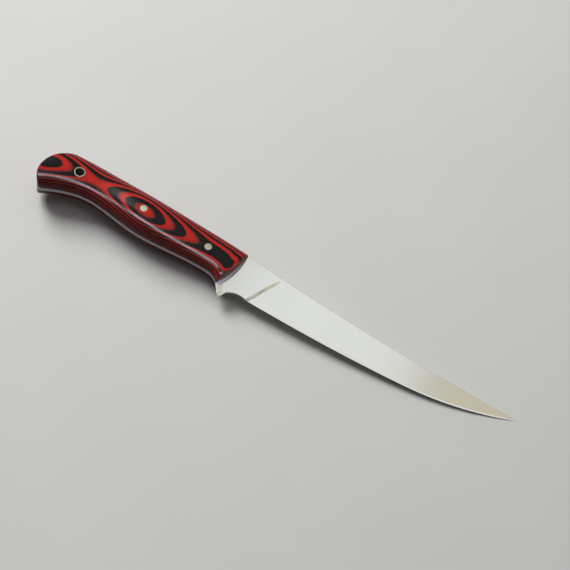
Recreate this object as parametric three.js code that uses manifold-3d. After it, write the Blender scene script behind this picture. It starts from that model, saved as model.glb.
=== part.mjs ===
// Kitchen knife of the fillet pattern: one steel blade with a full tang, two crowned laminate handle scales
// bonded and pinned to the tang, and a lanyard tube near the butt. It lies on its side: X runs from butt to
// tip, Y from edge to spine, Z through the thickness.

import * as THREE from 'three';
import { mergeVertices } from 'three/addons/utils/BufferGeometryUtils.js';
import Module from 'manifold-3d';

const wasm = await Module();
wasm.setup();

// Driving dimensions in millimetres. While a piece is drawn, x = 0 is the front of the handle at the spine,
// y = 0 is the long axis and z = 0 is the middle of the steel.

// Blade outline, distances forward from the handle and up or down from the long axis
const bladeLength = 163;
const stockThickness = 2.3;
const spineAtFront = 11.3;
const spineDipX = 50;
const spineDip = 10.9;
const tipHeight = 15.4;
const spineSlopeAtTip = 0.075;
const heelX = 12.6;
const heelDrop = 10.35;
const heelSlope = 0.045;
const bellyX = 105;
const bellyDrop = 2.6;
const bellySlope = 0.135;
const tipEdgeSlope = 0.5;

// Grind: thickness at the spine, at the shoulder of the sharpened bevel and at the edge, and the plunge
const spineThicknessAtPlunge = 2.2;
const spineThicknessAtTip = 0.7;
const shoulderThickness = 0.4;
const bevelWidth = 0.7;
const edgeLand = 0.04;
const plungeX = 22;
const plungeRadius = 24;
const ricassoClearance = 0.5;

// Guard and choil
const guardRearBack = 2.2;
const guardRearDrop = 15.3;
const guardRearSlope = -1.7;
const guardPointBack = 0.4;
const guardPointDrop = 17.6;
const guardFrontX = 1.5;
const guardFrontDrop = 15.4;
const choilTurnX = 3.2;
const choilX = 10;
const choilDrop = 10.1;

// Handle outline: the finger and palm stand back from its front, the rest forward from its butt
const handleLength = 117;
const frontRadius = 54;
const fingerBack = 13.5;
const fingerDrop = 8.5;
const palmBack = 56;
const palmDrop = 12.5;
const waistFromButt = 34;
const waistDrop = 10.8;
const hookFromButt = 6.7;
const hookDrop = 20.8;
const hookSlope = 0.65;
const hookRound = 1.6;
const topFromButt = 11;
const spineAtButt = 4.2;
const buttSlope = 0.115;

// Crown of the scales: height over the bonded face along the ridge, and shape across it
const frontEdgeHeight = 6.1;
const frontEdgeSlope = -0.05;
const frontFlat = 14.5;
const frontHeight = 6.5;
const palmHeight = 9.3;
const palmFrontRun = 13;
const palmFrontDrop = 0.94;
const palmFrontSlope = -0.095;
const palmRearRun = 14;
const palmRearDrop = 1.08;
const palmRearSlope = 0.105;
const neckFromButt = 30;
const neckHeight = 6.98;
const flareFromButt = 16.6;
const flareHeight = 7.86;
const flareSlope = -0.085;
const pollFromButt = 4.5;
const pollHeight = 8.68;
const ridgeShift = 2.1;
const crownPower = 2.1;
const crownOverhang = 0.25;

// Fasteners and bond
const bondThickness = 0.15;
const pinDiameter = 4;
const pinClearance = 0.1;
const pinDrop = 0.9;
const frontPinBack = 18.3;
const middlePinBack = 57.1;
const tubeDiameter = 6;
const tubeWall = 0.6;
const tubeClearance = 0.1;
const tubeFromButt = 20.1;

// Fineness of the curves, and how far a cutter reaches past what it cuts
const outlineStep = 2.5;
const crownColumns = 20;
const plungeRows = 10;
const bladeRows = 32;
const frontSteps = 8;
const guardSteps = 10;
const arcSteps = 14;
const roundSides = 32;
const halvings = 50;
const beyond = 5;

// Materials
const steel = new THREE.MeshStandardMaterial({ color: 0xd4d6d0, roughness: 0.28, metalness: 1 });
const laminate = new THREE.MeshStandardMaterial({ color: 0x8c1f1a, roughness: 0.42, metalness: 0 });
const epoxy = new THREE.MeshStandardMaterial({ color: 0x3a2c22, roughness: 0.35, metalness: 0 });
const pinMetal = new THREE.MeshStandardMaterial({ color: 0xb9bbad, roughness: 0.3, metalness: 1 });

// Smooth curve y(x) through stations of x, y and slope, straight beyond its ends
function curveThrough(stations) {
  const ordered = [...stations].sort((a, b) => a.x - b.x);
  const first = ordered[0];
  const last = ordered[ordered.length - 1];
  return (x) => {
    if (x <= first.x) {
      return first.y + first.slope * (x - first.x);
    }
    if (x >= last.x) {
      return last.y + last.slope * (x - last.x);
    }
    const next = ordered.findIndex((station) => station.x >= x);
    const a = ordered[next - 1];
    const b = ordered[next];
    const span = b.x - a.x;
    const t = (x - a.x) / span;
    const rise = t * t * (3 - 2 * t);
    const leave = t * (1 - t) * (1 - t) * span * a.slope;
    const arrive = t * t * (t - 1) * span * b.slope;
    return a.y + (b.y - a.y) * rise + leave + arrive;
  };
}

// Place between low and high where a function changes sign, by halving
function crossing(f, low, high) {
  const rising = f(high) > f(low);
  let from = low;
  let to = high;
  for (let i = 0; i < halvings; i += 1) {
    const middle = (from + to) / 2;
    const past = f(middle) > 0;
    if (past === rising) {
      to = middle;
    } else {
      from = middle;
    }
  }
  return (from + to) / 2;
}

const hookX = hookFromButt - handleLength;
const spine = curveThrough([
  { x: 0, y: spineAtFront, slope: 0 },
  { x: spineDipX, y: spineDip, slope: 0 },
  { x: bladeLength, y: tipHeight, slope: spineSlopeAtTip },
]);
const cuttingEdge = curveThrough([
  { x: heelX, y: -heelDrop, slope: heelSlope },
  { x: bellyX, y: -bellyDrop, slope: bellySlope },
  { x: bladeLength, y: tipHeight, slope: tipEdgeSlope },
]);
const handleBack = curveThrough([
  { x: -handleLength, y: spineAtButt, slope: buttSlope },
  { x: 0, y: spineAtFront, slope: 0 },
]);
const handleBelly = curveThrough([
  { x: hookX, y: -hookDrop, slope: hookSlope },
  { x: waistFromButt - handleLength, y: -waistDrop, slope: 0 },
  { x: -palmBack, y: -palmDrop, slope: 0 },
  { x: -fingerBack, y: -fingerDrop, slope: 0 },
  { x: -guardRearBack, y: -guardRearDrop, slope: guardRearSlope },
]);
const crest = curveThrough([
  { x: pollFromButt - handleLength, y: pollHeight, slope: 0 },
  { x: flareFromButt - handleLength, y: flareHeight, slope: flareSlope },
  { x: neckFromButt - handleLength, y: neckHeight, slope: 0 },
  { x: -palmBack - palmRearRun, y: palmHeight - palmRearDrop, slope: palmRearSlope },
  { x: -palmBack, y: palmHeight, slope: 0 },
  { x: -palmBack + palmFrontRun, y: palmHeight - palmFrontDrop, slope: palmFrontSlope },
  { x: -frontFlat, y: frontHeight, slope: 0 },
  { x: 0, y: frontEdgeHeight, slope: frontEdgeSlope },
]);

// Front edge of the scales: an arc square to the spine that sweeps back towards the finger
const frontAt = (y) => Math.sqrt(frontRadius ** 2 - (spineAtFront - y) ** 2) - frontRadius;
const frontCornerX = crossing((x) => x - frontAt(handleBelly(x)), -fingerBack, -guardRearBack);

// Butt: the arc from the end of the back to the point of the hook that is as far out as the handle is long
const topX = topFromButt - handleLength;
const topY = handleBack(topX);
const radiusTo = (inset, rise) => (inset + rise ** 2 / inset) / 2;
const radiusToTop = (centre) => radiusTo(topFromButt, topY - centre);
const radiusToHook = (centre) => radiusTo(hookFromButt, centre + hookDrop);
const buttY = crossing((centre) => radiusToTop(centre) - radiusToHook(centre), -hookDrop, topY);
const buttRadius = radiusToTop(buttY);
const buttX = buttRadius - handleLength;

// Straight steps along a curve, with the same stations whatever its ends
function follow(path, curve, from, to) {
  const forward = Math.sign(to - from);
  let station = (Math.floor((from * forward) / outlineStep) + 1) * outlineStep;
  while (station < to * forward - outlineStep / 10) {
    path.lineTo(station * forward, curve(station * forward));
    station += outlineStep;
  }
  path.lineTo(to, curve(to));
}

// Back of the handle, round the butt and its hook, and along the belly to a given place
function drawHandle(path, end) {
  follow(path, handleBack, 0, topX);
  const startAngle = Math.atan2(topY - buttY, topX - buttX);
  const hookAngle = Math.atan2(-hookDrop - buttY, hookX - buttX) + 2 * Math.PI;
  path.absarc(buttX, buttY, buttRadius, startAngle, hookAngle - hookRound / buttRadius, false);
  const afterHook = hookX + hookRound;
  path.quadraticCurveTo(hookX, -hookDrop, afterHook, handleBelly(afterHook));
  follow(path, handleBelly, afterHook, end);
}

function scaleOutline() {
  const shape = new THREE.Shape();
  shape.moveTo(0, spineAtFront);
  drawHandle(shape, frontCornerX);
  const cornerY = handleBelly(frontCornerX);
  for (let i = 1; i < frontSteps; i += 1) {
    const y = THREE.MathUtils.lerp(cornerY, spineAtFront, i / frontSteps);
    shape.lineTo(frontAt(y), y);
  }
  return shape;
}

function steelOutline() {
  const shape = new THREE.Shape();
  shape.moveTo(0, spineAtFront);
  drawHandle(shape, -fingerBack);
  for (let i = 1; i <= guardSteps; i += 1) {
    const x = THREE.MathUtils.lerp(-fingerBack, -guardRearBack, i / guardSteps);
    shape.lineTo(x, handleBelly(x));
  }
  shape.quadraticCurveTo(-guardPointBack, -guardPointDrop, guardFrontX, -guardFrontDrop);
  shape.quadraticCurveTo(choilTurnX, -choilDrop, choilX, -choilDrop);
  shape.lineTo(heelX, -heelDrop);
  follow(shape, cuttingEdge, heelX, bladeLength);
  follow(shape, spine, bladeLength, 0);
  return shape;
}

function solidOf(geometry) {
  geometry.deleteAttribute('normal');
  geometry.deleteAttribute('uv');
  const merged = mergeVertices(geometry);
  const vertProperties = new Float32Array(merged.attributes.position.array);
  const triVerts = new Uint32Array(merged.index.array);
  return new wasm.Manifold(new wasm.Mesh({ numProp: 3, vertProperties, triVerts }));
}

function meshOf(name, solid, material) {
  const { vertProperties, triVerts } = solid.getMesh();
  const geometry = new THREE.BufferGeometry();
  geometry.setAttribute('position', new THREE.BufferAttribute(vertProperties, 3));
  geometry.setIndex(new THREE.BufferAttribute(triVerts, 1));
  geometry.computeVertexNormals();
  const mesh = new THREE.Mesh(geometry, material);
  mesh.name = name;
  return mesh;
}

function plate(shape, bottom, top) {
  const depth = top - bottom;
  const geometry = new THREE.ExtrudeGeometry(shape, { depth, bevelEnabled: false, curveSegments: arcSteps });
  geometry.translate(0, 0, bottom);
  return solidOf(geometry);
}

const bondFace = stockThickness / 2 + bondThickness;
const clearTop = bondFace + palmHeight + pollHeight;

// Round bar through the whole handle
function bar(diameter, place) {
  const geometry = new THREE.CylinderGeometry(diameter / 2, diameter / 2, 2 * clearTop, roundSides);
  geometry.rotateX(Math.PI / 2);
  geometry.translate(place.x, place.y, 0);
  return solidOf(geometry);
}

// A box whose grid points are carried to real places: along runs 0 to 1, across and side run -1 to 1
function shapedBox(rows, columns, carry) {
  const geometry = new THREE.BoxGeometry(1, 2, 2, rows, columns, 1);
  const points = geometry.attributes.position;
  for (let i = 0; i < points.count; i += 1) {
    const along = points.getX(i) + 0.5;
    const place = carry(along, points.getY(i), points.getZ(i));
    points.setXYZ(i, place.x, place.y, place.z);
  }
  return solidOf(geometry);
}

// Whole crowned handle body, both sides at once: a superellipse across, the crest profile along
function crownedBody() {
  const rows = Math.ceil((handleLength + beyond) / outlineStep) + 1;
  return shapedBox(rows, crownColumns, (along, across, side) => {
    const x = (1 - Math.round((1 - along) * rows)) * outlineStep;
    const top = handleBack(x);
    const bottom = handleBelly(Math.min(x, frontCornerX));
    const ridge = (top + bottom) / 2 - ridgeShift;
    const share = Math.sin((across * Math.PI) / 2);
    const width = (share > 0 ? top - ridge : ridge - bottom) + crownOverhang;
    const height = Math.max(0, 1 - Math.abs(share) ** crownPower) ** (1 / crownPower);
    return { x, y: ridge + share * width, z: side * (bondFace + crest(x) * height) };
  });
}

// Space between the two ground faces of the blade: open over the tang, rising at the plunge
function grindEnvelope() {
  const stations = [-handleLength - beyond];
  const plungeStart = plungeX - Math.sqrt(2 * plungeRadius * stockThickness);
  for (let i = 0; i < plungeRows; i += 1) {
    stations.push(THREE.MathUtils.lerp(plungeStart, plungeX, i / plungeRows));
  }
  for (let i = 0; i <= bladeRows; i += 1) {
    stations.push(THREE.MathUtils.lerp(plungeX, bladeLength + beyond, i / bladeRows));
  }
  const past = hookDrop + beyond;
  const lines = 4;
  return shapedBox(stations.length - 1, lines, (along, across, side) => {
    const x = stations[Math.round(along * (stations.length - 1))];
    const edge = cuttingEdge(Math.max(x, heelX));
    const shoulder = edge + bevelWidth;
    const back = Math.max(spine(Math.max(x, 0)), shoulder + bevelWidth);
    const taper = Math.max(0, (x - plungeX) / (bladeLength - plungeX));
    const backHalf = THREE.MathUtils.lerp(spineThicknessAtPlunge, spineThicknessAtTip, taper) / 2;
    const section = [
      { y: edge - past, half: edgeLand / 2 },
      { y: edge, half: edgeLand / 2 },
      { y: shoulder, half: shoulderThickness / 2 },
      { y: back, half: backHalf },
      { y: back + past, half: backHalf },
    ];
    const line = section[Math.round(((across + 1) / 2) * lines)];
    const rise = Math.max(0, plungeX - x) ** 2 / (2 * plungeRadius);
    return { x, y: line.y, z: side * Math.min(line.half + rise, stockThickness) };
  });
}

// Places of the pins and the tube, from the middle line of the handle
function fromMiddleLine(back, drop) {
  return { x: -back, y: (handleBack(-back) + handleBelly(-back)) / 2 - drop };
}
const frontPinPlace = fromMiddleLine(frontPinBack, pinDrop);
const middlePinPlace = fromMiddleLine(middlePinBack, pinDrop);
const tubePlace = fromMiddleLine(handleLength - tubeFromButt, 0);
const pinHole = pinDiameter + 2 * pinClearance;
const tubeHole = tubeDiameter + 2 * tubeClearance;
const holes = bar(pinHole, frontPinPlace).add(bar(pinHole, middlePinPlace)).add(bar(tubeHole, tubePlace));

const stockHalf = stockThickness / 2;
const stock = plate(steelOutline(), -stockHalf, stockHalf);
const ground = stock.intersect(grindEnvelope()).subtract(holes);

// Split line just in front of the scales: each flat of the ricasso is a face of its own
const [forward, rearward] = ground.splitByPlane([1, 0, 0], ricassoClearance);
const bladeSolid = forward.add(rearward.asOriginal());

const scaleShape = scaleOutline();
const crowned = crownedBody();
const upperScaleSolid = plate(scaleShape, bondFace, clearTop).intersect(crowned).subtract(holes);
const lowerScaleSolid = plate(scaleShape, -clearTop, -bondFace).intersect(crowned).subtract(holes);
const upperBondSolid = plate(scaleShape, stockHalf, bondFace).subtract(holes);
const lowerBondSolid = plate(scaleShape, -bondFace, -stockHalf).subtract(holes);

const frontPinSolid = bar(pinDiameter, frontPinPlace).intersect(crowned);
const middlePinSolid = bar(pinDiameter, middlePinPlace).intersect(crowned);
const tubeBore = bar(tubeDiameter - 2 * tubeWall, tubePlace);
const tubeSolid = bar(tubeDiameter, tubePlace).intersect(crowned).subtract(tubeBore);

const knife = new THREE.Group();
knife.add(meshOf('blade_with_tang', bladeSolid, steel));
knife.add(meshOf('upper_scale', upperScaleSolid, laminate));
knife.add(meshOf('lower_scale', lowerScaleSolid, laminate));
knife.add(meshOf('upper_bond', upperBondSolid, epoxy));
knife.add(meshOf('lower_bond', lowerBondSolid, epoxy));
knife.add(meshOf('front_pin', frontPinSolid, pinMetal));
knife.add(meshOf('middle_pin', middlePinSolid, pinMetal));
knife.add(meshOf('lanyard_tube', tubeSolid, pinMetal));

// The origin is under the middle of the knife as it lies
const bounds = new THREE.Box3().setFromObject(knife);
const middle = bounds.getCenter(new THREE.Vector3());
knife.position.set(-middle.x, -middle.y, -bounds.min.z);

const part = new THREE.Group();
part.add(knife);

export default part;
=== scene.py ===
# Looks of a kitchen knife of the fillet pattern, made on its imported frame. Sizes are millimetres
# in the knife's own frame: x = 0 is the front of the handle at the spine and x runs to the tip,
# y runs from the cutting edge to the spine, and z = 0 is the middle of the steel.

import math
from functools import partial

import bmesh
import bpy
from mathutils import Matrix, Quaternion, Vector


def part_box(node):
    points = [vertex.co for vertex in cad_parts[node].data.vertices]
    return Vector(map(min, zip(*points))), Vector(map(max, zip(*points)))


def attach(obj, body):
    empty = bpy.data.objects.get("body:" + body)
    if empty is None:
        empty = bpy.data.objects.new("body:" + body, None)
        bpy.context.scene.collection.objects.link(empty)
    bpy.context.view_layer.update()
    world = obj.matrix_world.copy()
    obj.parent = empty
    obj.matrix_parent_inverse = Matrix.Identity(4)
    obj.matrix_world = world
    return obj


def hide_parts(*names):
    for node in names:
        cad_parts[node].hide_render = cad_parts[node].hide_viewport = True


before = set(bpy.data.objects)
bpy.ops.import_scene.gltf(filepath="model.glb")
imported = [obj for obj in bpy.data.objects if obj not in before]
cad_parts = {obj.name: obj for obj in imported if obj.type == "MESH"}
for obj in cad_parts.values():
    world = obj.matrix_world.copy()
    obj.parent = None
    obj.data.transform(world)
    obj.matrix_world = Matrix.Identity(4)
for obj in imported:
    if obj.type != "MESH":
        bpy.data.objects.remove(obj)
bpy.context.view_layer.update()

MM = 0.001

# Sizes that the frame gives
steel_low, steel_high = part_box("blade_with_tang")
scale_low, scale_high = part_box("upper_scale")
STOCK_HALF = (steel_high.z - steel_low.z) / 2 / MM
BOND_FACE = (scale_low.z - steel_low.z) / MM - STOCK_HALF
HANDLE_LENGTH = (scale_high.x - scale_low.x) / MM
BLADE_LENGTH = (steel_high.x - scale_high.x) / MM
PALM_HEIGHT = (scale_high.z - scale_low.z) / MM

# Blade outline
SPINE_AT_FRONT = 11.3
SPINE_DIP_X = 50
SPINE_DIP = 10.9
TIP_HEIGHT = 15.4
SPINE_SLOPE_AT_TIP = 0.075
HEEL_X = 12.6
HEEL_DROP = 10.35
HEEL_SLOPE = 0.045
BELLY_X = 105
BELLY_DROP = 2.6
BELLY_SLOPE = 0.135
TIP_EDGE_SLOPE = 0.5

# Grind, as half thicknesses, and the plunge, which leans forward and softens toward the spine
SPINE_HALF_AT_PLUNGE = 1.1
SPINE_HALF_AT_TIP = 0.35
SHOULDER_HALF = 0.2
EDGE_HALF = 0.02
BEVEL_WIDTH = 0.7
PLUNGE_X = 14.4
PLUNGE_LEAN = 0.46
PLUNGE_RADIUS = 1.3
PLUNGE_SOFTENING = 14
PLUNGE_EASE = 0.3
GRIND_START = 22
GRIND_SLOPE_LIMIT = 0.06

# Eased edge of the spine: its size, and the share of it where it turns
SPINE_EASE = 0.22
SPINE_TURN = 0.3

# Guard and choil
GUARD_REAR = (-2.2, -15.3)
GUARD_REAR_SLOPE = -1.7
GUARD_POINT = (-0.4, -17.6)
GUARD_FRONT = (1.5, -15.4)
CHOIL_TURN_X = 3.2
CHOIL = (10, -10.1)
FLANK_WIDTH = 5.3
FLANK_DEPTH = 0.36
CHOIL_EASE = 0.2
GUARD_RIM_WIDTH = 0.4
GUARD_RIM_DROP = 0.1

# Run over which the steel's eased edges begin where it comes out of the handle
EASE_START = 0.2

# Handle outline; the hook of the butt keeps a margin inside the solids' box
FRONT_RADIUS = 54
FINGER = (-13.5, -8.5)
PALM = (-56, -12.5)
WAIST_FROM_BUTT = 34
WAIST_DROP = 10.8
HOOK_FROM_BUTT = 6.4
HOOK_DROP = 20.8
HOOK_SLOPE = 0.65
HOOK_ROUND = 1.6
TOP_FROM_BUTT = 17
BUTT_INSET = 1.1
BUTT_DROP = 12.5
SPINE_AT_BUTT = 5.45
BUTT_SLOPE = 0.115
BACK_BEND = (-85, 8.5)
BACK_SLOPE = 0.045
BOX_MARGIN = 0.001

# Crown of the scales
FRONT_EDGE_HEIGHT = 6.3
FRONT_EDGE_SLOPE = -0.03
FRONT_FLAT = 14.5
FRONT_HEIGHT = 6.5
PALM_FRONT_RUN = 13
PALM_FRONT_DROP = 0.94
PALM_FRONT_SLOPE = -0.095
PALM_REAR_RUN = 14
PALM_REAR_DROP = 1.08
PALM_REAR_SLOPE = 0.105
NECK_FROM_BUTT = 30
NECK_HEIGHT = 6.98
FLARE_FROM_BUTT = 16.6
FLARE_HEIGHT = 7.86
FLARE_SLOPE = -0.085
POLL_FROM_BUTT = 4.5
POLL_HEIGHT = 8.68
POLL_RIDGE_SHIFT = 0.6
NECK_RIDGE_SHIFT = 2.4
GRIP_REAR_RIDGE_SHIFT = 1.3
PALM_RIDGE_SHIFT = 2.75
FRONT_RIDGE_SHIFT = 1.9
CROWN_POWER = 2.1
CROWN_OVERHANG = 0.25
BUTT_ROUND = 0.7
FRONT_EASE = 0.35
FRONT_EASE_RUN = 2.5

# Fasteners
TUBE_WALL = 0.6
GLUE_GAP = 0.1
RIM_EASE = 0.07

# Patterns of the materials; a scratch has a length and a width
PLY = 0.56
THREAD = 0.9
LAYER_WANDER = 9
BELT_SCRATCH = (30, 0.5)
STEEL_CLOUD = 22
PIN_SCRATCH = (4, 0.3)
EPOXY_PATCH = 3
FLOOR_PATCH = 60

# Length of one band of a wave texture whose scale is 1
BAND = 0.314

# Sawn front of the scales: how far in from the front arc it begins, and where it is full
SAWN_BEGINS = 0.12
SAWN_FULL = 0.02

# Painted shade on a rougher strip of steel in front of the scales: width at the guard, and where
# it runs out
SHADE_STRIP_WIDTH = 2
SHADE_STRIP_LOW = -9
SHADE_STRIP_HIGH = 14
SHADE_STRIP_FADE = 0.3
TANG_SHADE_FADE = 0.2

# Fineness of the meshes, and the steps along the blank's outline
SCALE_ROWS = 220
SCALE_COLUMNS = 72
ROW_CROWDING = 0.85
ROUND_SIDES = 64
CURVE_STEPS = 24
BISECTIONS = 50
SECTION_COLUMNS = 24
HANDLE_STEP = 1.5
GUARD_STEP = 0.3
PLUNGE_STEP = 0.15
BLADE_STEP = 1.0

# Edges over these angles in degrees stay sharp, and points nearer than this in metres are joined
HANDLE_SHARP = 35
BLADE_SHARP = 10
WELD = 1e-7

# Slack for finding a share on a line, and the least ease, which keeps a division safe
SHARE_SLACK = 1e-9
LEAST_EASE = 1e-6

# Colour of the room, and of the floor far from the knife; floor sizes and distances in metres
BACKDROP = "#B2B2AF"
FLOOR_HALF = 4
FADE_BEGINS = 0.3
FADE_FULL = 1.1
FLOOR_SEARCH_STEP = 0.5

# Camera, from the photograph: angles in degrees, and lens for a sensor of this width
CAMERA_AZIMUTH = 19.78
CAMERA_ELEVATION = 61
CAMERA_ROLL = 15
CAMERA_DISTANCE = 880.8
CAMERA_AIM = (24.46, 9.49, 0)
CAMERA_LENS = 107.4
CAMERA_SENSOR = 36

ORIGIN = Vector((
    scale_high.x, steel_high.y - TIP_HEIGHT * MM, (steel_low.z + steel_high.z) / 2
))


def place(x, y, z=0.0):
    """A point of the knife's own frame in the row frame, in metres."""
    return ORIGIN + Vector((x, y, z)) * MM


def curve_through(*stations):
    """y(x) through stations of x, y and slope, straight beyond the first and the last."""
    def curve(x):
        if x <= stations[0][0]:
            x_first, y_first, slope = stations[0]
            return y_first + slope * (x - x_first)
        for (xa, ya, slope_a), (xb, yb, slope_b) in zip(stations, stations[1:]):
            if x <= xb:
                t = (x - xa) / (xb - xa)
                bow = (xb - xa) * t * (1 - t) * (slope_a * (1 - t) - slope_b * t)
                return ya + (yb - ya) * t * t * (3 - 2 * t) + bow
        x_last, y_last, slope = stations[-1]
        return y_last + slope * (x - x_last)
    return curve


def crossing(f, low, high):
    """The place between low and high where f changes sign."""
    rising = f(high) > f(low)
    for _ in range(BISECTIONS):
        middle = (low + high) / 2
        if (f(middle) > 0) == rising:
            high = middle
        else:
            low = middle
    return (low + high) / 2


def smooth_step(x, start, end):
    """0 before start, 1 after end and smooth between."""
    t = min(1.0, max(0.0, (x - start) / (end - start)))
    return t * t * (3 - 2 * t)


def arc(centre, radius, start, end):
    """Points of an arc between two angles."""
    angles = [start + (end - start) * i / CURVE_STEPS for i in range(CURVE_STEPS + 1)]
    return [(centre[0] + radius * math.cos(a), centre[1] + radius * math.sin(a)) for a in angles]


def bend(start, corner, end):
    """Points of a curve from start to end that turns at a corner."""
    points = []
    for i in range(CURVE_STEPS + 1):
        t = i / CURVE_STEPS
        weights = ((1 - t) ** 2, 2 * t * (1 - t), t ** 2)
        x, y = (sum(w * p[k] for w, p in zip(weights, (start, corner, end))) for k in (0, 1))
        points.append((x, y))
    return points


def along(curve, start, end, step):
    """Points of a curve y(x) at even steps, both ends included."""
    count = max(1, round(abs(end - start) / step))
    stations = [start + (end - start) * i / count for i in range(count + 1)]
    return [(x, curve(x)) for x in stations]


def radius_to(inset, rise):
    """Radius of an arc that leaves its far point upright and gains this inset over this rise."""
    return (inset + rise ** 2 / inset) / 2


# Curves of the outline and the crown
hook = (HOOK_FROM_BUTT - HANDLE_LENGTH, -HOOK_DROP)
spine = curve_through(
    (0, SPINE_AT_FRONT, 0),
    (SPINE_DIP_X, SPINE_DIP, 0),
    (BLADE_LENGTH, TIP_HEIGHT, SPINE_SLOPE_AT_TIP),
)
cutting_edge = curve_through(
    (HEEL_X, -HEEL_DROP, HEEL_SLOPE),
    (BELLY_X, -BELLY_DROP, BELLY_SLOPE),
    (BLADE_LENGTH, TIP_HEIGHT, TIP_EDGE_SLOPE),
)
choil_to_heel = curve_through((*CHOIL, 0), (HEEL_X, -HEEL_DROP, HEEL_SLOPE))
handle_back = curve_through(
    (-HANDLE_LENGTH, SPINE_AT_BUTT, BUTT_SLOPE),
    (*BACK_BEND, BACK_SLOPE),
    (0, SPINE_AT_FRONT, 0),
)
handle_belly = curve_through(
    (*hook, HOOK_SLOPE),
    (WAIST_FROM_BUTT - HANDLE_LENGTH, -WAIST_DROP, 0),
    (*PALM, 0),
    (*FINGER, 0),
    (*GUARD_REAR, GUARD_REAR_SLOPE),
)
crest = curve_through(
    (POLL_FROM_BUTT - HANDLE_LENGTH, POLL_HEIGHT, 0),
    (FLARE_FROM_BUTT - HANDLE_LENGTH, FLARE_HEIGHT, FLARE_SLOPE),
    (NECK_FROM_BUTT - HANDLE_LENGTH, NECK_HEIGHT, 0),
    (PALM[0] - PALM_REAR_RUN, PALM_HEIGHT - PALM_REAR_DROP, PALM_REAR_SLOPE),
    (PALM[0], PALM_HEIGHT, 0),
    (PALM[0] + PALM_FRONT_RUN, PALM_HEIGHT - PALM_FRONT_DROP, PALM_FRONT_SLOPE),
    (-FRONT_FLAT, FRONT_HEIGHT, 0),
    (0, FRONT_EDGE_HEIGHT, FRONT_EDGE_SLOPE),
)
ridge_shift = curve_through(
    (POLL_FROM_BUTT - HANDLE_LENGTH, POLL_RIDGE_SHIFT, 0),
    (NECK_FROM_BUTT - HANDLE_LENGTH, NECK_RIDGE_SHIFT, 0),
    (PALM[0] - PALM_REAR_RUN, GRIP_REAR_RIDGE_SHIFT, 0),
    (PALM[0] + PALM_FRONT_RUN / 2, PALM_RIDGE_SHIFT, 0),
    (-FRONT_FLAT, FRONT_RIDGE_SHIFT, 0),
)

# Front arc of the scales, and where it meets the belly
front_centre = (-FRONT_RADIUS, SPINE_AT_FRONT)
front_corner = crossing(
    lambda x: math.dist((x, handle_belly(x)), front_centre) - FRONT_RADIUS,
    FINGER[0], GUARD_REAR[0],
)

# The two arcs of the butt, up to the back and down to the point of the hook, and the hook's bend
top = (TOP_FROM_BUTT - HANDLE_LENGTH, handle_back(TOP_FROM_BUTT - HANDLE_LENGTH))
butt = (BUTT_INSET - HANDLE_LENGTH, -BUTT_DROP)
upper_radius = radius_to(top[0] - butt[0], top[1] - butt[1])
lower_radius = radius_to(hook[0] - butt[0], butt[1] - hook[1])
upper_centre = (butt[0] + upper_radius, butt[1])
lower_centre = (butt[0] + lower_radius, butt[1])
top_angle = math.atan2(top[1] - upper_centre[1], top[0] - upper_centre[0])
hook_angle = math.atan2(hook[1] - lower_centre[1], hook[0] - lower_centre[0]) + 2 * math.pi
after_hook = (hook[0] + HOOK_ROUND, handle_belly(hook[0] + HOOK_ROUND))
upper_arc = arc(upper_centre, upper_radius, math.pi, top_angle)
lower_arc = arc(lower_centre, lower_radius, math.pi, hook_angle - HOOK_ROUND / lower_radius)
hook_low = (steel_low.y - ORIGIN.y) / MM + BOX_MARGIN
hook_bend = [(x, max(y, hook_low)) for x, y in bend(lower_arc[-1], hook, after_hook)]


def band_at(x):
    """Ridge line and the widths above and below it, across the handle at x."""
    above = handle_back(x)
    below = handle_belly(min(x, front_corner))
    ridge = (above + below) / 2 - ridge_shift(x)
    return ridge, above - ridge, ridge - below


def share_at(x, y):
    """Place across the handle: -1 on the belly, 0 on the ridge, 1 on the back."""
    ridge, above, below = band_at(x)
    return (y - ridge) / (above if y > ridge else below)


def crown_at(x, y):
    """What the crown needs to know at a point: its share of the overhung width, and the crest."""
    ridge, above, below = band_at(x)
    width = (above if y > ridge else below) + CROWN_OVERHANG
    return (y - ridge) / width, crest(x)


# Node helpers

def linear(hex_colour, alpha=1.0):
    """An sRGB hex colour as linear red, green, blue and alpha."""
    parts = [int(hex_colour[i:i + 2], 16) / 255 for i in (1, 3, 5)]
    return (*[c / 12.92 if c <= 0.04045 else ((c + 0.055) / 1.055) ** 2.4 for c in parts], alpha)


def add_node(tree, kind, inputs=None, **settings):
    """Adds a node with its settings, and sets its inputs by name or number.

    An input takes a value, or a link from a socket or from the first output of a node.
    """
    node = tree.nodes.new(kind)
    for name, value in settings.items():
        setattr(node, name, value)
    for socket, value in (inputs or {}).items():
        if isinstance(value, bpy.types.Node):
            value = value.outputs[0]
        if isinstance(value, bpy.types.NodeSocket):
            tree.links.new(value, node.inputs[socket])
        else:
            node.inputs[socket].default_value = value
    return node


def new_material(name):
    """An empty node material, and what adds nodes to it."""
    material = bpy.data.materials.new(name)
    material.use_nodes = True
    material.node_tree.nodes.clear()
    return material, partial(add_node, material.node_tree)


def set_ramp(node, *stops):
    """Gives a colour ramp its stops of place and hex colour."""
    ramp = node.color_ramp
    while len(ramp.elements) < len(stops):
        ramp.elements.new(1.0)
    for element, (position, colour) in zip(ramp.elements, stops):
        element.position = position
        element.color = linear(colour)


def stretch(size):
    """Scale of a pattern whose marks have a length along the knife and a width across it."""
    length, width = size
    return (1 / (length * MM), 1 / (width * MM), 1 / (width * MM))


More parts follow.
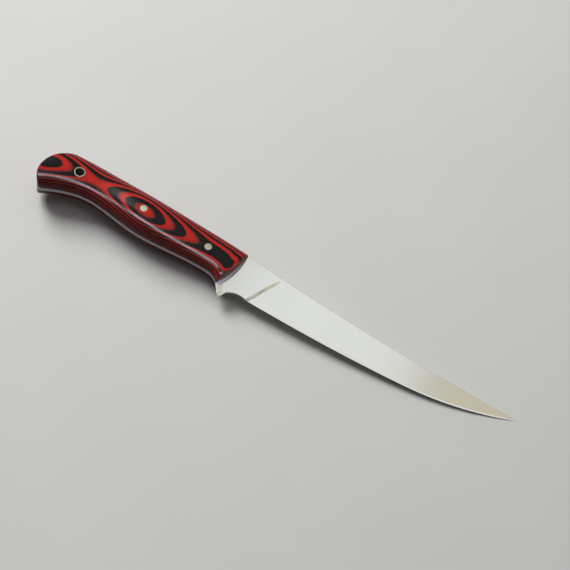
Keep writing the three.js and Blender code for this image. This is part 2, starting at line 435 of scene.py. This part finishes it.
def front_reach(add, coords):
    """Distance in plan from the centre of the scales' front arc; behind it only y counts."""
    from_centre = add(
        "ShaderNodeVectorMath", {0: coords, 1: place(*front_centre)}, operation="SUBTRACT"
    )
    ahead = add("ShaderNodeVectorMath", {0: from_centre, 1: (0, -1, -1)}, operation="MAXIMUM")
    flat = add("ShaderNodeVectorMath", {0: ahead, 1: (1, 1, 0)}, operation="MULTIPLY")
    return add("ShaderNodeVectorMath", {0: flat}, operation="LENGTH").outputs["Value"]


def eye_rays(add):
    """1 on rays that the eye follows, straight or mirrored, and 0 on light between surfaces."""
    path = add("ShaderNodeLightPath").outputs
    mirrored = add(
        "ShaderNodeMath", {0: path["Is Glossy Ray"], 1: path["Is Transmission Ray"]},
        operation="ADD",
    )
    return add(
        "ShaderNodeMath", {0: path["Is Camera Ray"], 1: mirrored}, operation="ADD", use_clamp=True
    )


# Materials

def glass_laminate():
    """Red and black glass-fibre laminate, cut through its flat layers and sanded to a satin sheen.

    Each layer is a sheet of dyed cloth and resin, so a curved cut shows rings. The foot of a red
    layer is dulled by the black one under it, the threads make the lines a little ragged, and
    black shows its weave. The front is only sawn and stays dark and matt.
    """
    material, add = new_material("glass_fibre_laminate_sanded")
    coords = add("ShaderNodeTexCoord").outputs["Object"]
    height = add("ShaderNodeSeparateXYZ", {0: coords}).outputs["Z"]
    from_middle = add("ShaderNodeMath", {0: height, 1: ORIGIN.z}, operation="SUBTRACT")
    off_steel = add("ShaderNodeMath", {0: from_middle}, operation="ABSOLUTE")
    over_bond = add("ShaderNodeMath", {0: off_steel, 1: BOND_FACE * MM}, operation="SUBTRACT")
    layers = add("ShaderNodeMath", {0: over_bond, 1: 1 / (2 * PLY * MM)}, operation="MULTIPLY")
    wander = add(
        "ShaderNodeTexNoise", {"Vector": coords, "Scale": 1 / (LAYER_WANDER * MM), "Detail": 2.0}
    ).outputs["Fac"]
    warp, weft = [
        add(
            "ShaderNodeTexWave",
            {"Vector": coords, "Scale": BAND / (THREAD * MM), "Distortion": 0.6},
            wave_type="BANDS", bands_direction=direction,
        ).outputs["Fac"]
        for direction in ("X", "Y")
    ]
    weave = add("ShaderNodeMath", {0: warp, 1: weft}, operation="MULTIPLY")
    drift = add("ShaderNodeMath", {0: wander, 1: 0.05, 2: -0.025}, operation="MULTIPLY_ADD")
    ragged = add("ShaderNodeMath", {0: weave, 1: 0.025, 2: drift}, operation="MULTIPLY_ADD")
    level = add("ShaderNodeMath", {0: layers, 1: ragged}, operation="ADD")
    phase = add("ShaderNodeMath", {0: level}, operation="FRACT")
    colour = add("ShaderNodeValToRGB", {0: phase})
    set_ramp(
        colour,
        (0.0, "#241512"),
        (0.05, "#6B2A22"),
        (0.2, "#B5231B"),
        (0.32, "#C4251C"),
        (0.485, "#BF2119"),
        (0.51, "#0E0D0D"),
        (0.985, "#131212"),
        (1.0, "#241512"),
    )
    threads = add(
        "ShaderNodeMix", {"Factor": weave, "A": linear("#E6E6E6"), "B": linear("#FFFFFF")},
        data_type="RGBA",
    ).outputs["Result"]
    tinted = add(
        "ShaderNodeMix", {"Factor": 1.0, "A": colour, "B": threads},
        data_type="RGBA", blend_type="MULTIPLY",
    ).outputs["Result"]
    sawn = add(
        "ShaderNodeMapRange",
        {
            "Value": front_reach(add, coords),
            "From Min": (FRONT_RADIUS - SAWN_BEGINS) * MM,
            "From Max": (FRONT_RADIUS - SAWN_FULL) * MM,
        },
    )
    fibre_ends = add("ShaderNodeMath", {0: sawn, 1: 0.8}, operation="MULTIPLY")
    dulled = add(
        "ShaderNodeMix", {"Factor": fibre_ends, "A": tinted, "B": linear("#7C5C4C")},
        data_type="RGBA",
    ).outputs["Result"]
    polish = add("ShaderNodeMath", {0: weave, 1: 0.04, 2: 0.22}, operation="MULTIPLY_ADD")
    sheen = add("ShaderNodeMath", {0: sawn, 1: 0.6, 2: polish}, operation="MULTIPLY_ADD")
    grain = add("ShaderNodeBump", {"Strength": 0.14, "Distance": 0.012 * MM, "Height": weave})
    surface = add(
        "ShaderNodeBsdfPrincipled",
        {
            "Base Color": dulled,
            "Roughness": sheen,
            "IOR": 1.52,
            "Specular IOR Level": 0.15,
            "Normal": grain,
        },
    )
    add("ShaderNodeOutputMaterial", {"Surface": surface})
    return material


def satin_steel():
    """Stainless blade steel with a fine belt finish along the blade.

    The scratches run the length of the knife and spread its reflections a little across it. A
    narrow strip in front of the scales and the edge of the tang are rougher, and darkened by
    painted shade: lavender-grey on the strip, plain grey on the tang's edge.
    """
    material, add = new_material("stainless_steel_satin")
    coords = add("ShaderNodeTexCoord").outputs["Object"]
    reach = front_reach(add, coords)
    height = add("ShaderNodeSeparateXYZ", {0: coords}).outputs["Y"]
    # Mask of painted shade and more roughness: a strip in front of the scales, and the tang's edge
    # behind them
    strip_end = add(
        "ShaderNodeMapRange",
        {
            "Value": height,
            "From Min": place(0, SHADE_STRIP_LOW).y,
            "From Max": place(0, SHADE_STRIP_HIGH).y,
            "To Min": (FRONT_RADIUS + SHADE_STRIP_WIDTH) * MM,
            "To Max": FRONT_RADIUS * MM,
        },
    )
    inside = add("ShaderNodeMath", {0: strip_end, 1: reach}, operation="SUBTRACT")
    rough_shade_mask = add(
        "ShaderNodeMath", {0: inside, 1: 1 / (SHADE_STRIP_FADE * MM)},
        operation="MULTIPLY", use_clamp=True,
    )
    stretched = add("ShaderNodeMapping", {"Vector": coords, "Scale": stretch(BELT_SCRATCH)})
    scratches = add(
        "ShaderNodeTexNoise",
        {"Vector": stretched, "Scale": 1.0, "Detail": 3.0, "Roughness": 0.6},
    ).outputs["Fac"]
    clouds = add(
        "ShaderNodeTexNoise", {"Vector": coords, "Scale": 1 / (STEEL_CLOUD * MM), "Detail": 2.0}
    ).outputs["Fac"]
    tone = add(
        "ShaderNodeMix", {"Factor": scratches, "A": linear("#D3D4CF"), "B": linear("#E2E3DE")},
        data_type="RGBA",
    ).outputs["Result"]
    # Painted shade on the tang's edge under the scales: a darker grey than the strip in front
    tang_shade_mask = add(
        "ShaderNodeMapRange",
        {
            "Value": reach,
            "From Min": FRONT_RADIUS * MM,
            "From Max": (FRONT_RADIUS - TANG_SHADE_FADE) * MM,
        },
    )
    # Painted shade: darker lavender-grey steel at the foot of the scales' front, darker grey on
    # the tang's edge
    painted_shade = add(
        "ShaderNodeMix", {"Factor": tang_shade_mask, "A": linear("#A29EAC"), "B": linear("#8A888C")},
        data_type="RGBA",
    ).outputs["Result"]
    shaded = add(
        "ShaderNodeMix", {"Factor": rough_shade_mask, "A": tone, "B": painted_shade}, data_type="RGBA"
    ).outputs["Result"]
    uneven = add("ShaderNodeMath", {0: clouds, 1: 0.05, 2: 0.08}, operation="MULTIPLY_ADD")
    belt = add("ShaderNodeMath", {0: scratches, 1: 0.06, 2: uneven}, operation="MULTIPLY_ADD")
    roughness = add("ShaderNodeMath", {0: rough_shade_mask, 1: 0.5, 2: belt}, operation="MULTIPLY_ADD")
    lines = add("ShaderNodeBump", {"Strength": 0.12, "Distance": 0.004 * MM, "Height": scratches})
    surface = add(
        "ShaderNodeBsdfPrincipled",
        {"Base Color": shaded, "Metallic": 1.0, "Roughness": roughness, "Normal": lines},
    )
    add("ShaderNodeOutputMaterial", {"Surface": surface})
    return material


def nickel_silver():
    """Nickel silver pin stock and tube, ground flush: pale, slightly yellow, fine scratches."""
    material, add = new_material("nickel_silver_ground")
    coords = add("ShaderNodeTexCoord").outputs["Object"]
    stretched = add("ShaderNodeMapping", {"Vector": coords, "Scale": stretch(PIN_SCRATCH)})
    scratches = add(
        "ShaderNodeTexNoise", {"Vector": stretched, "Scale": 1.0, "Detail": 2.0}
    ).outputs["Fac"]
    tone = add(
        "ShaderNodeMix", {"Factor": scratches, "A": linear("#909180"), "B": linear("#A2A391")},
        data_type="RGBA",
    ).outputs["Result"]
    roughness = add("ShaderNodeMath", {0: scratches, 1: 0.12, 2: 0.3}, operation="MULTIPLY_ADD")
    surface = add(
        "ShaderNodeBsdfPrincipled", {"Base Color": tone, "Metallic": 1.0, "Roughness": roughness}
    )
    add("ShaderNodeOutputMaterial", {"Surface": surface})
    return material


def cured_epoxy():
    """Cured epoxy at the edge of a glue line: brown, glossy and slightly uneven."""
    material, add = new_material("cured_epoxy")
    coords = add("ShaderNodeTexCoord").outputs["Object"]
    patches = add(
        "ShaderNodeTexNoise", {"Vector": coords, "Scale": 1 / (EPOXY_PATCH * MM), "Detail": 2.0}
    ).outputs["Fac"]
    tone = add(
        "ShaderNodeMix", {"Factor": patches, "A": linear("#2B1F18"), "B": linear("#4A382B")},
        data_type="RGBA",
    ).outputs["Result"]
    surface = add("ShaderNodeBsdfPrincipled", {"Base Color": tone, "Roughness": 0.3, "IOR": 1.55})
    add("ShaderNodeOutputMaterial", {"Surface": surface})
    return material


def pale_floor():
    """Matt painted board, faintly uneven: pale to the eye, and it throws little light back up.

    Far from the knife it passes into the backdrop, as a long sweep of paper does.
    """
    material, add = new_material("matt_painted_board")
    coords = add("ShaderNodeTexCoord").outputs["Object"]
    patches = add(
        "ShaderNodeTexNoise", {"Vector": coords, "Scale": 1 / (FLOOR_PATCH * MM)}
    ).outputs["Fac"]
    tone = add(
        "ShaderNodeMix", {"Factor": patches, "A": linear("#CBCBC9"), "B": linear("#D0D0CE")},
        data_type="RGBA",
    ).outputs["Result"]
    shown = eye_rays(add)
    board = add(
        "ShaderNodeMix", {"Factor": shown, "A": linear("#646663"), "B": tone}, data_type="RGBA"
    ).outputs["Result"]
    surface = add(
        "ShaderNodeBsdfPrincipled",
        {"Base Color": board, "Roughness": 0.8, "Specular IOR Level": 0.2},
    )
    from_knife = add("ShaderNodeVectorMath", {0: coords}, operation="LENGTH").outputs["Value"]
    far = add(
        "ShaderNodeMapRange",
        {"Value": from_knife, "From Min": FADE_BEGINS, "From Max": FADE_FULL},
        interpolation_type="SMOOTHSTEP",
    )
    fade = add("ShaderNodeMath", {0: far, 1: shown}, operation="MULTIPLY")
    distance = add("ShaderNodeEmission", {"Color": linear(BACKDROP), "Strength": 1.0})
    sweep = add("ShaderNodeMixShader", {0: fade, 1: surface, 2: distance})
    add("ShaderNodeOutputMaterial", {"Surface": sweep})
    # The far floor only has the backdrop's colour, and is no lamp
    material.cycles.emission_sampling = "NONE"
    return material


LAMINATE = glass_laminate()
STEEL = satin_steel()
PIN_METAL = nickel_silver()
EPOXY = cured_epoxy()


# Crown: lifts a flat plan to the crowned surface of the scales

def crown_tree():
    """z = middle + side * (bond + crest * (1 - |across| ^ power) ^ (1 / power) - ease)."""
    tree = bpy.data.node_groups.new("crown_of_the_scales", "GeometryNodeTree")
    tree.interface.new_socket("Geometry", in_out="INPUT", socket_type="NodeSocketGeometry")
    for name in ("Middle of Steel", "Bond Face", "Crown Power"):
        tree.interface.new_socket(name, in_out="INPUT", socket_type="NodeSocketFloat")
    tree.interface.new_socket("Finish", in_out="INPUT", socket_type="NodeSocketMaterial")
    tree.interface.new_socket("Geometry", in_out="OUTPUT", socket_type="NodeSocketGeometry")
    add = partial(add_node, tree)
    given = add("NodeGroupInput").outputs
    across, peak, drop, side = [
        add("GeometryNodeInputNamedAttribute", {"Name": name}, data_type="FLOAT")
        for name in ("across", "crest", "ease", "side")
    ]
    power = given["Crown Power"]
    distance = add("ShaderNodeMath", {0: across}, operation="ABSOLUTE")
    fall = add("ShaderNodeMath", {0: distance, 1: power}, operation="POWER")
    left = add("ShaderNodeMath", {0: 1.0, 1: fall}, operation="SUBTRACT", use_clamp=True)
    root = add("ShaderNodeMath", {0: 1.0, 1: power}, operation="DIVIDE")
    profile = add("ShaderNodeMath", {0: left, 1: root}, operation="POWER")
    raised = add(
        "ShaderNodeMath", {0: profile, 1: peak, 2: given["Bond Face"]}, operation="MULTIPLY_ADD"
    )
    eased = add("ShaderNodeMath", {0: raised, 1: drop}, operation="SUBTRACT")
    height = add(
        "ShaderNodeMath", {0: eased, 1: side, 2: given["Middle of Steel"]},
        operation="MULTIPLY_ADD",
    )
    flat = add("ShaderNodeSeparateXYZ", {0: add("GeometryNodeInputPosition")}).outputs
    lifted = add("ShaderNodeCombineXYZ", {0: flat["X"], 1: flat["Y"], 2: height})
    moved = add("GeometryNodeSetPosition", {"Geometry": given["Geometry"], "Position": lifted})
    real = add("GeometryNodeRealizeInstances", {"Geometry": moved})
    finished = add("GeometryNodeSetMaterial", {"Geometry": real, "Material": given["Finish"]})
    add("NodeGroupOutput", {"Geometry": finished})
    return tree


CROWN = crown_tree()


def new_piece(name, points, faces):
    """A mesh object at the origin with its place in its mesh."""
    mesh = bpy.data.meshes.new(name)
    mesh.from_pydata(points, [], faces)
    piece = bpy.data.objects.new(name, mesh)
    bpy.context.scene.collection.objects.link(piece)
    return piece


def settle(piece, sharp_angle):
    """Turns a piece's modifiers into its own closed mesh, smooth but for edges over an angle."""
    evaluated = piece.evaluated_get(bpy.context.evaluated_depsgraph_get())
    mesh = bpy.data.meshes.new_from_object(evaluated)
    piece.modifiers.clear()
    piece.data = mesh
    shape = bmesh.new()
    shape.from_mesh(mesh)
    bmesh.ops.remove_doubles(shape, verts=shape.verts, dist=WELD)
    bmesh.ops.dissolve_degenerate(shape, edges=shape.edges, dist=WELD)
    bmesh.ops.recalc_face_normals(shape, faces=shape.faces)
    shape.to_mesh(mesh)
    shape.free()
    mesh.shade_smooth()
    mesh.set_sharp_from_angle(angle=math.radians(sharp_angle))


def drill(piece, holes, sharp_angle):
    """Cuts round holes, with centres in metres and radii in millimetres, and settles the piece."""
    drills = bmesh.new()
    for centre, radius in holes:
        bmesh.ops.create_cone(
            drills, cap_ends=True, segments=ROUND_SIDES, radius1=radius * MM, radius2=radius * MM,
            depth=4 * (BOND_FACE + PALM_HEIGHT) * MM, matrix=Matrix.Translation(centre),
        )
    mesh = bpy.data.meshes.new("drills")
    drills.to_mesh(mesh)
    drills.free()
    cutter = bpy.data.objects.new("drills", mesh)
    bpy.context.scene.collection.objects.link(cutter)
    modifier = piece.modifiers.new("holes", "BOOLEAN")
    modifier.operation = "DIFFERENCE"
    modifier.solver = "EXACT"
    modifier.object = cutter
    settle(piece, sharp_angle)
    bpy.data.objects.remove(cutter)


def crown_piece(name, points, faces, values, finish, holes=()):
    """Lifts a flat plan to the crown: each point has across, crest and ease in mm, and side."""
    piece = new_piece(name, points, faces)
    for number, attribute in enumerate(("across", "crest", "ease", "side")):
        unit = MM if attribute in ("crest", "ease") else 1.0
        layer = piece.data.attributes.new(attribute, "FLOAT", "POINT")
        layer.data.foreach_set("value", [value[number] * unit for value in values])
    crown = piece.modifiers.new("crown", "NODES")
    crown.node_group = CROWN
    given = {
        "Middle of Steel": ORIGIN.z,
        "Bond Face": BOND_FACE * MM,
        "Crown Power": CROWN_POWER,
        "Finish": finish,
    }
    for item in CROWN.interface.items_tree:
        if item.in_out == "INPUT" and item.name in given:
            crown[item.identifier] = given[item.name]
    if holes:
        drill(piece, holes, HANDLE_SHARP)
    else:
        settle(piece, HANDLE_SHARP)
    return piece


# Handle scales

def end_stations(line, shares):
    """x where an end line of the scale meets the long line of each share."""
    spots = [(share_at(x, y), x) for x, y in line]
    stations = []
    for share in shares:
        for (a, xa), (b, xb) in zip(spots, spots[1:]):
            if min(a, b) - SHARE_SLACK <= share <= max(a, b) + SHARE_SLACK and a != b:
                stations.append(xa + (xb - xa) * (share - a) / (b - a))
                break
    return stations


def rounded(distance, radius):
    """How far a rounded edge drops at a distance in from it."""
    inside = max(0.0, radius - max(0.0, distance))
    return radius - math.sqrt(radius ** 2 - inside ** 2)


def end_ease(x, y):
    """How far the crown drops at a point for the rounded butt and the eased front."""
    if y > butt[1]:
        to_butt = upper_radius - math.dist((x, y), upper_centre)
    else:
        to_butt = lower_radius - math.dist((x, y), lower_centre)
    to_front = FRONT_RADIUS - math.dist((x, y), front_centre)
    at_butt = 1 - smooth_step(x, hook[0], lower_centre[0])
    at_front = smooth_step(x, front_centre[0], FINGER[0])
    run = max(0.0, 1 - max(0.0, to_front) / FRONT_EASE_RUN)
    return at_butt * rounded(to_butt, BUTT_ROUND) + at_front * FRONT_EASE * run ** 2


def scale_plan(side):
    """Grid from butt to front and belly to back, its skirt and its foot, for the crown to lift."""
    steps = [2 * j / SCALE_COLUMNS - 1 for j in range(SCALE_COLUMNS + 1)]
    shares = [math.sin(math.pi / 2 * step) for step in steps]
    butt_line = list(reversed(hook_bend)) + list(reversed(lower_arc)) + upper_arc
    front_top = 0.0
    front_low = math.atan2(
        handle_belly(front_corner) - front_centre[1], front_corner - front_centre[0]
    )
    front_line = arc(front_centre, FRONT_RADIUS, front_low, front_top)
    butt_ends = end_stations(butt_line, shares)
    front_ends = end_stations(front_line, shares)
    points, values = [], []
    for i in range(SCALE_ROWS + 1):
        u = i / SCALE_ROWS
        s = u - ROW_CROWDING * math.sin(2 * math.pi * u) / (2 * math.pi)
        for share, rear, front in zip(shares, butt_ends, front_ends):
            x = rear + (front - rear) * s
            ridge, above, below = band_at(x)
            y = ridge + share * (above if share > 0 else below)
            points.append(place(x, y))
            values.append((*crown_at(x, y), end_ease(x, y), side))
    width = SCALE_COLUMNS + 1
    last = SCALE_ROWS * width
    rim = list(range(0, width - 1))
    rim += [i * width + width - 1 for i in range(SCALE_ROWS)]
    rim += list(range(last + width - 1, last, -1))
    rim += [i * width for i in range(SCALE_ROWS, 0, -1)]
    faces = []
    for i in range(SCALE_ROWS):
        for j in range(SCALE_COLUMNS):
            corner = i * width + j
            faces.append((corner, corner + 1, corner + width + 1, corner + width))
    foot = list(range(len(points), len(points) + len(rim)))
    points += [points[i] for i in rim]
    values += [(0.0, 0.0, 0.0, side)] * len(rim)
    for i in range(len(rim)):
        after = (i + 1) % len(rim)
        faces.append((rim[i], foot[i], foot[after], rim[after]))
    faces.append(tuple(foot))
    return points, faces, values


def film_mesh(side):
    """The glue under a scale: the scale's outline between the steel and the scale."""
    points, faces, _ = scale_plan(side)
    rim = faces[-1]
    count = len(rim)
    film = []
    for half in (STOCK_HALF, BOND_FACE):
        film += [Vector((points[i].x, points[i].y, place(0, 0, side * half).z)) for i in rim]
    skin = [tuple(range(count)), tuple(range(count, 2 * count))]
    skin += [(k, (k + 1) % count, count + (k + 1) % count, count + k) for k in range(count)]
    return film, skin


# Pins and tube: bars that end flush in both crowns

def bar_plan(centre, inner, outer):
    """Rings of a bar, or of a tube with an inner radius, that end in both crowns, rims eased."""
    x_centre = (centre.x - ORIGIN.x) / MM
    y_centre = (centre.y - ORIGIN.y) / MM
    radii = [outer, outer - RIM_EASE]
    radii += [inner + RIM_EASE, inner] if inner else [outer / 2, outer / 8]
    points, values, faces = [], [], []
    for side in (1.0, -1.0):
        for radius in radii:
            ease = RIM_EASE if radius == outer or radius == inner else 0.0
            for k in range(ROUND_SIDES):
                angle = 2 * math.pi * k / ROUND_SIDES
                x = x_centre + radius * math.cos(angle)
                y = y_centre + radius * math.sin(angle)
                points.append(place(x, y))
                values.append((*crown_at(x, y), ease, side))
    rings = len(radii)
    loop = [(side * rings + r) * ROUND_SIDES for side in (0, 1) for r in range(rings)]
    order = loop[:rings] + list(reversed(loop[rings:]))
    for k in range(ROUND_SIDES):
        after = (k + 1) % ROUND_SIDES
        for a, b in zip(order, order[1:]):
            if inner or {a, b} != {loop[rings - 1], loop[-1]}:
                faces.append((a + k, a + after, b + after, b + k))
        faces.append((loop[0] + k, loop[rings] + k, loop[rings] + after, loop[0] + after))
    if not inner:
        faces.append(tuple(loop[rings - 1] + k for k in range(ROUND_SIDES)))
        faces.append(tuple(loop[-1] + k for k in range(ROUND_SIDES)))
    return points, faces, values


# Blade, guard and tang

def low_line():
    """The blank's low outline: from the middle of the butt by belly, guard and edge to the tip."""
    line = lower_arc + hook_bend[1:]
    line += along(handle_belly, after_hook[0], FINGER[0], HANDLE_STEP)[1:]
    line += along(handle_belly, FINGER[0], GUARD_REAR[0], GUARD_STEP)[1:]
    line += bend(GUARD_REAR, GUARD_POINT, GUARD_FRONT)[1:]
    line += bend(GUARD_FRONT, (CHOIL_TURN_X, CHOIL[1]), CHOIL)[1:]
    line += along(choil_to_heel, CHOIL[0], HEEL_X, GUARD_STEP)[1:]
    line += along(cutting_edge, HEEL_X, GRIND_START, PLUNGE_STEP)[1:]
    line += along(cutting_edge, GRIND_START, BLADE_LENGTH, BLADE_STEP)[1:]
    return line


def high_at(x):
    """The blank's outline on the spine side."""
    if x < top[0]:
        reach = max(0.0, upper_radius ** 2 - (x - upper_centre[0]) ** 2)
        return upper_centre[1] + math.sqrt(reach)
    return handle_back(x) if x < 0 else spine(x)


def ground_half(x, y):
    """Half thickness of the steel: flat stock, then the plunge, the grind and the bevel."""
    edge = cutting_edge(max(x, HEEL_X))
    shoulder = edge + BEVEL_WIDTH
    back = max(spine(max(x, 0)), shoulder + BEVEL_WIDTH)
    taper = max(0.0, (x - GRIND_START) / (BLADE_LENGTH - GRIND_START))
    back_half = SPINE_HALF_AT_PLUNGE + (SPINE_HALF_AT_TIP - SPINE_HALF_AT_PLUNGE) * taper
    if y < shoulder:
        half = EDGE_HALF + (SHOULDER_HALF - EDGE_HALF) * max(0.0, (y - edge) / BEVEL_WIDTH)
    else:
        slope = min(GRIND_SLOPE_LIMIT, (back_half - SHOULDER_HALF) / (back - shoulder))
        half = SHOULDER_HALF + slope * (min(y, back) - shoulder)
    plunge = PLUNGE_X + PLUNGE_LEAN * (y + HEEL_DROP)
    climb = min(1.0, max(0.0, (y - edge) / (back - edge)))
    radius = PLUNGE_RADIUS + PLUNGE_SOFTENING * climb ** 2
    rise = max(0.0, plunge - x) ** 2 / (2 * radius)
    ease = max(LEAST_EASE, PLUNGE_EASE * (STOCK_HALF - half))
    blend = min(1.0, max(0.0, 0.5 + (STOCK_HALF - half - rise) / (2 * ease)))
    return STOCK_HALF + (half + rise - STOCK_HALF) * blend - ease * blend * (1 - blend)


flank_width = curve_through(
    (front_corner, FLANK_WIDTH / 2, 0),
    (GUARD_REAR[0], FLANK_WIDTH, 0),
    (GUARD_FRONT[0], BEVEL_WIDTH, 0),
)
flank_depth = curve_through(
    (front_corner, FLANK_DEPTH, 0),
    (GUARD_REAR[0], FLANK_DEPTH, 0),
    (GUARD_FRONT[0], CHOIL_EASE, 0),
)


def blank_section(x, low, high):
    """Section of the blank at x from the low outline to the high one, as y and half thickness."""
    shown_low = smooth_step(x, front_corner - EASE_START, front_corner)
    shown_high = smooth_step(x, -EASE_START, 0.0)
    flank = flank_width(min(x, GUARD_FRONT[0]))
    width = min(flank, (high - low) / 3)
    depth = flank_depth(min(x, GUARD_FRONT[0])) * shown_low
    ease = SPINE_EASE * shown_high * min(1.0, ground_half(x, high) / (2 * SPINE_EASE))
    rim_share = min(0.5, GUARD_RIM_WIDTH / flank)
    rim = low + rim_share * width
    before_choil = 1 - smooth_step(x, GUARD_POINT[0], GUARD_FRONT[0])
    rim_drop = GUARD_RIM_DROP * shown_low * before_choil
    first = low + width
    last = high - min(SPINE_EASE, (high - low) / 3)
    section = [
        (low, min(ground_half(x, low), STOCK_HALF - depth - rim_drop)),
        (rim, min(ground_half(x, rim), STOCK_HALF - depth * (1 - rim_share))),
        (first, ground_half(x, first)),
    ]
    for i in range(1, SECTION_COLUMNS):
        y = first + (last - first) * i / SECTION_COLUMNS
        section.append((y, ground_half(x, y)))
    turn = high - SPINE_TURN * (high - last)
    section.append((last, ground_half(x, last)))
    section.append((turn, ground_half(x, high) - SPINE_TURN * ease))
    section.append((high, ground_half(x, high) - ease))
    return section


def blank_mesh():
    """Sections of the blank from butt to tip, both faces, joined into one closed skin."""
    points, faces, rows = [], [], []
    for x, low in low_line():
        section = blank_section(x, low, high_at(x))
        row = list(range(len(points), len(points) + 2 * len(section)))
        points += [place(x, y, half) for y, half in section]
        points += [place(x, y, -half) for y, half in reversed(section)]
        rows.append(row)
    for row, after in zip(rows, rows[1:]):
        for k in range(len(row)):
            next_k = (k + 1) % len(row)
            faces.append((row[k], row[next_k], after[next_k], after[k]))
    return points, faces


# Making the pieces

def round_hole(node, gap):
    """Centre of a round CAD node in metres, and the radius of its hole in millimetres."""
    low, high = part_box(node)
    return (low + high) / 2, (high.x - low.x) / 2 / MM + gap


fasteners = ("front_pin", "middle_pin", "lanyard_tube")
holes = [round_hole(node, GLUE_GAP) for node in fasteners]
made = []

for node, side in (("upper_scale", 1.0), ("lower_scale", -1.0)):
    scale = crown_piece(f"{node}_laminate", *scale_plan(side), LAMINATE, holes)
    made.append((scale, node, "handle_laminate"))

for node, side in (("upper_bond", 1.0), ("lower_bond", -1.0)):
    film = new_piece(f"{node}_epoxy", *film_mesh(side))
    film.data.materials.append(EPOXY)
    drill(film, holes, HANDLE_SHARP)
    made.append((film, node, "epoxy_film"))

for node in fasteners:
    centre, radius = round_hole(node, 0.0)
    inner = radius - TUBE_WALL if node == "lanyard_tube" else 0.0
    bar = crown_piece(f"{node}_flush", *bar_plan(centre, inner, radius), PIN_METAL)
    made.append((bar, node, "pin_metal"))

blade = new_piece("blade_satin", *blank_mesh())
blade.data.materials.append(STEEL)
settle(blade, BLADE_SHARP)
drill(blade, holes, BLADE_SHARP)
made.append((blade, "blade_with_tang", "blade_steel"))

for piece, node, slot in made:
    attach(piece, "root")
    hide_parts(node)

# Floor: it touches the palm swell and the tip, as the knife lies

palm_line = along(crest, PALM[0], PALM[0] + PALM_FRONT_RUN, FLOOR_SEARCH_STEP)
tilt, palm_x, palm_height = max(
    ((BOND_FACE + height) / (BLADE_LENGTH - x), x, height) for x, height in palm_line
)
corners = [(-1, -1, 0), (1, -1, 0), (1, 1, 0), (-1, 1, 0)]
floor = new_piece("floor", [Vector(corner) * FLOOR_HALF for corner in corners], [(0, 1, 2, 3)])
floor.data.materials.append(pale_floor())
floor.location = place(palm_x, 0, -BOND_FACE - palm_height)
floor.rotation_euler = (0, -math.atan(tilt), 0)

# World: a pale room to the eye and in reflections, which lights the knife dimly, least from the
# front

world = bpy.data.worlds.new("pale_room")
bpy.context.scene.world = world
world.use_nodes = True
world.node_tree.nodes.clear()
add = partial(add_node, world.node_tree)
direction = add("ShaderNodeTexCoord").outputs["Generated"]
backward = add("ShaderNodeSeparateXYZ", {0: direction}).outputs["Y"]
depth = add("ShaderNodeMath", {0: backward, 1: 0.5, 2: 0.5}, operation="MULTIPLY_ADD")
walls = add("ShaderNodeValToRGB", {0: depth})
set_ramp(walls, (0.3, "#383838"), (0.65, "#7E7E7B"))
room = add(
    "ShaderNodeMix", {"Factor": eye_rays(add), "A": walls, "B": linear(BACKDROP)},
    data_type="RGBA",
).outputs["Result"]
background = add("ShaderNodeBackground", {"Color": room, "Strength": 1.0})
add("ShaderNodeOutputWorld", {"Surface": background})


def soft_box(name, direction, distance, width, height, power, colour):
    """A flat lamp in a direction from the knife, turned to face it: metres, watts and colour."""
    lamp = bpy.data.lights.new(name, "AREA")
    lamp.shape = "RECTANGLE"
    lamp.size = width
    lamp.size_y = height
    lamp.energy = power
    lamp.color = linear(colour)[:3]
    box = bpy.data.objects.new(name, lamp)
    bpy.context.scene.collection.objects.link(box)
    toward = Vector(direction).normalized()
    level = (Vector((1, 0, 0)) - toward * toward.x).normalized()
    turned = Matrix((level, toward.cross(level), toward)).transposed()
    box.matrix_world = Matrix.Translation(place(*CAMERA_AIM) + toward * distance) @ turned.to_4x4()
    return box


# Seen in the blade: pale over its middle, warm toward the tip and on the flank of the guard
soft_box("back_soft_box", (-0.109, 0.45, 0.86), 1.5, 0.335, 1.0, 0.63, "#F7FAFF")
soft_box("warm_panel", (0.195, 0.45, 0.86), 1.5, 0.57, 1.0, 0.528, "#FFE297")
soft_box("side_card", (-0.36, 0.35, 0.86), 1.5, 0.39, 0.3, 0.09, "#FFF5BB")

# Lights the handle and the floor
soft_box("key_soft_box", (-0.72, 0.3, 0.62), 1.8, 1.0, 1.0, 38, "#FFFFFF")

# Shows only as the sheen along the handle's near shoulder
front_strip = soft_box("front_strip", (-0.2, -0.46, 0.85), 1.4, 1.0, 0.28, 27, "#F6F2FF")
front_strip.visible_diffuse = False

# Fill the reflections of the guard and the bevel
soft_box("right_panel", (0.78, 0.17, 0.55), 1.5, 0.9, 0.7, 0.57, "#E1E1FF")
soft_box("overhead_strip", (0.03, -0.04, 1.0), 1.4, 1.0, 0.3, 0.52, "#FFFFFF")

# Camera at the photograph's angle

azimuth, elevation = math.radians(CAMERA_AZIMUTH), math.radians(CAMERA_ELEVATION)
toward_camera = Vector((
    math.sin(azimuth) * math.cos(elevation),
    -math.cos(azimuth) * math.cos(elevation),
    math.sin(elevation),
))
camera = bpy.data.objects.new("camera", bpy.data.cameras.new("camera"))
bpy.context.scene.collection.objects.link(camera)
camera.data.lens = CAMERA_LENS
camera.data.sensor_width = CAMERA_SENSOR
camera.location = place(*CAMERA_AIM) + toward_camera * CAMERA_DISTANCE * MM
upright = (-toward_camera).to_track_quat("-Z", "Y")
camera.rotation_mode = "QUATERNION"
camera.rotation_quaternion = upright @ Quaternion((0, 0, 1), math.radians(CAMERA_ROLL))
bpy.context.scene.camera = camera
bpy.context.scene.view_settings.view_transform = "Standard"
